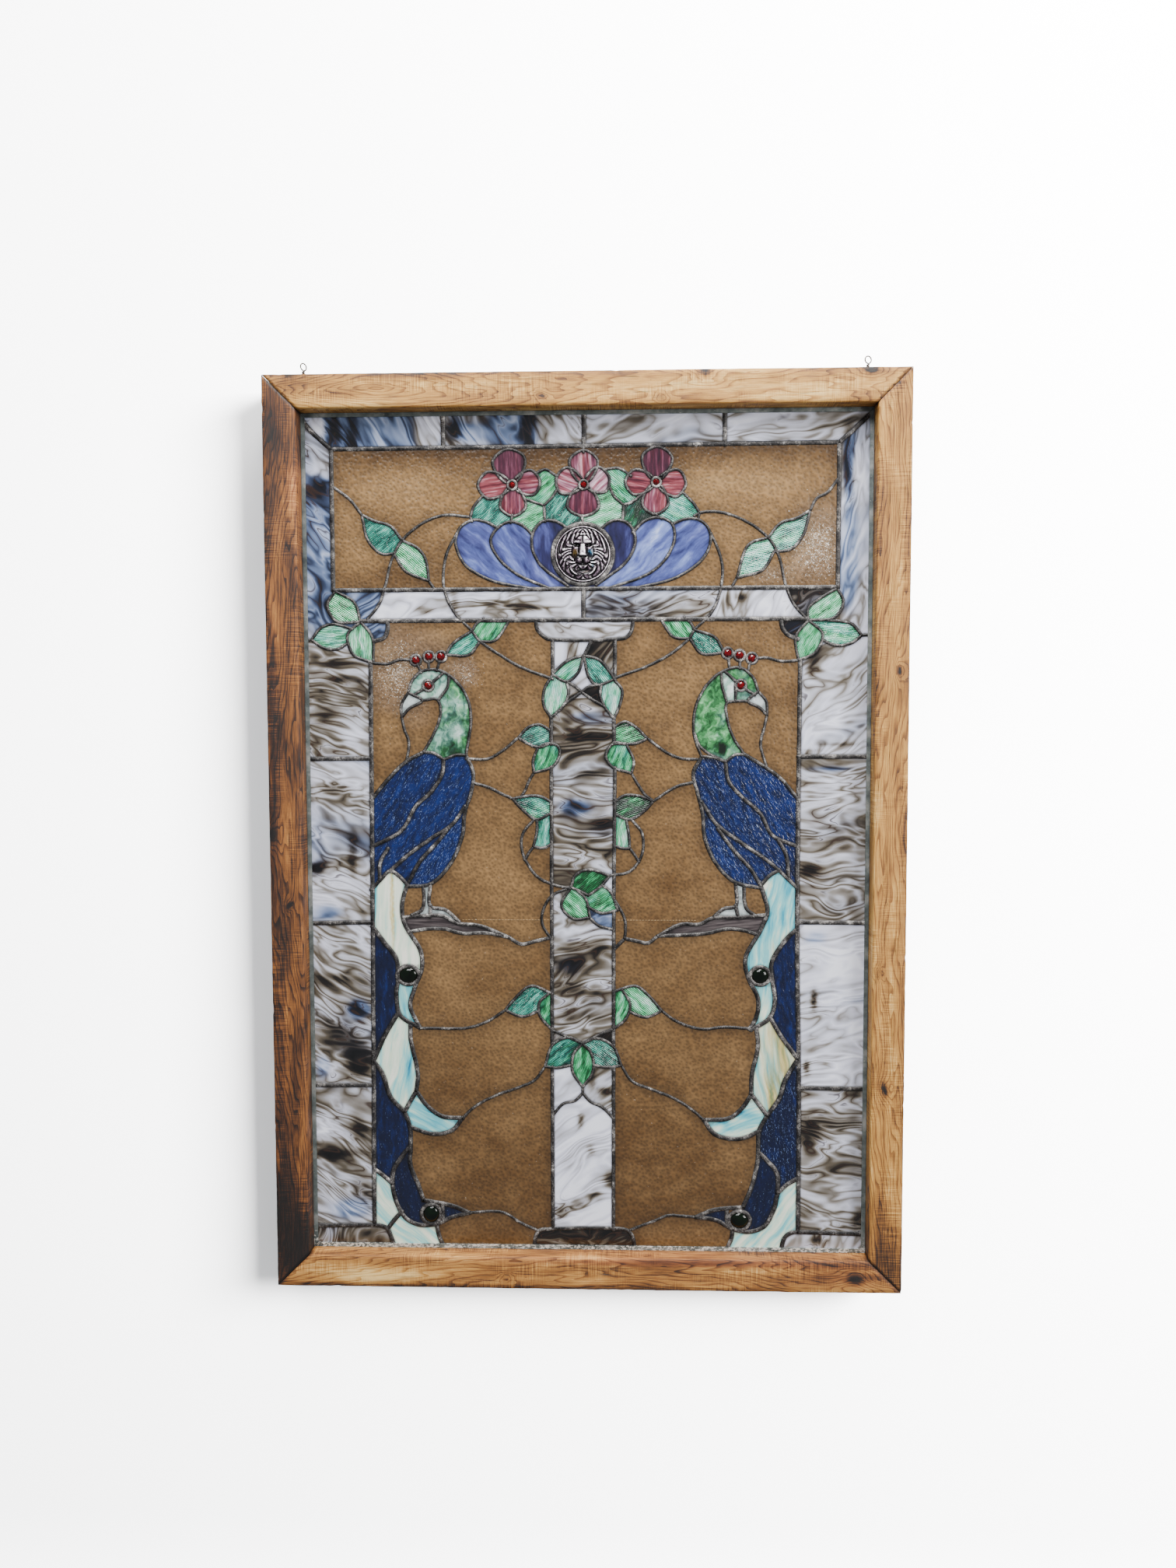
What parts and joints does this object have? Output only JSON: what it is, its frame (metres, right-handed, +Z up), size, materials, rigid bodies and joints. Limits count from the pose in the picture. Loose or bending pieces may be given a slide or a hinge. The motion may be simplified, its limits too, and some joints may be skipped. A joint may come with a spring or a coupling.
{
  "type": "stained glass window",
  "caption": "Leaded picture window in a deep wooden frame: two peacocks by a column under a bowl of flowers, with a marbled glass border and screw eyes on top to hang it by.",
  "frame": {"origin": "middle of the top rail's flat back face", "axes": "+Z up, the picture faces -Y, +Y into the wall behind, +X to the viewer's right"},
  "size_m": [0.722, 0.064, 1.0616],
  "materials": {
    "wood": "rough sawn, stained and scuffed",
    "zinc": "dull grey edge strip",
    "solder": "dark patina with bright spots",
    "glass_amber": "finely hammered amber",
    "glass_marbled": "opal white streaked with brown and blue",
    "glass_cobalt": "hammered cobalt blue",
    "glass_cream": "opal cream streaked with aqua",
    "glass_pressed": "pressed, with a metallic lustre",
    "glass_nugget": "smooth dark green",
    "steel": "dark and dull"
  },
  "bodies": {
    "root": {"frame_top": "wood", "frame_left": "wood", "frame_bottom": "wood", "frame_right": "wood", "edge_came_top": "zinc", "edge_came_left": "zinc", "edge_came_bottom": "zinc", "edge_came_right": "zinc", "leading": "solder", "pane_border_top_1": "glass_marbled", "pane_border_top_2": "glass_marbled", "pane_border_top_3": "glass_marbled", "pane_border_top_4": "glass_marbled", "pane_border_left_upper": "glass_marbled", "pane_border_right_upper": "glass_marbled", "pane_border_left_1": "glass_marbled", "pane_border_right_1": "glass_marbled", "pane_border_left_2": "glass_marbled", "pane_border_right_2": "glass_marbled", "pane_border_left_3": "glass_marbled", "pane_border_right_3": "glass_marbled", "pane_border_left_4": "glass_marbled", "pane_border_right_4": "glass_marbled", "pane_border_left_corner": "glass_marbled", "pane_border_right_corner": "glass_marbled", "pane_lintel_2": "glass_marbled", "pane_lintel_3": "glass_marbled", "pane_lintel_4": "glass_marbled", "pane_lintel_5": "glass_marbled", "pane_capital": "glass_marbled", "pane_column_base": "glass_marbled", "pane_shaft_upper": "glass_marbled", "pane_shaft_middle": "glass_marbled", "pane_shaft_lower": "glass_marbled", "pane_sky_left": "glass_amber", "pane_sky_right": "glass_amber", "pane_ground_left_1": "glass_amber", "pane_ground_right_1": "glass_amber", "pane_ground_left_2": "glass_amber", "pane_ground_right_2": "glass_amber", "pane_ground_left_3": "glass_amber", "pane_ground_right_3": "glass_amber", "pane_ground_left_4": "glass_amber", "pane_ground_right_4": "glass_amber", "pane_ground_left_5": "glass_amber", "pane_ground_right_5": "glass_amber", "pane_wing_left": "glass_cobalt", "pane_wing_right": "glass_cobalt", "pane_tail_left": "glass_cream", "pane_tail_right": "glass_cream", "lion_medallion": "glass_pressed", "nugget_upper_left": "glass_nugget", "nugget_upper_right": "glass_nugget", "nugget_lower_left": "glass_nugget", "nugget_lower_right": "glass_nugget", "screw_eye_left": "steel", "hanging_wire_left": "steel", "screw_eye_right": "steel", "hanging_wire_right": "steel"}
  },
  "joints": []
}
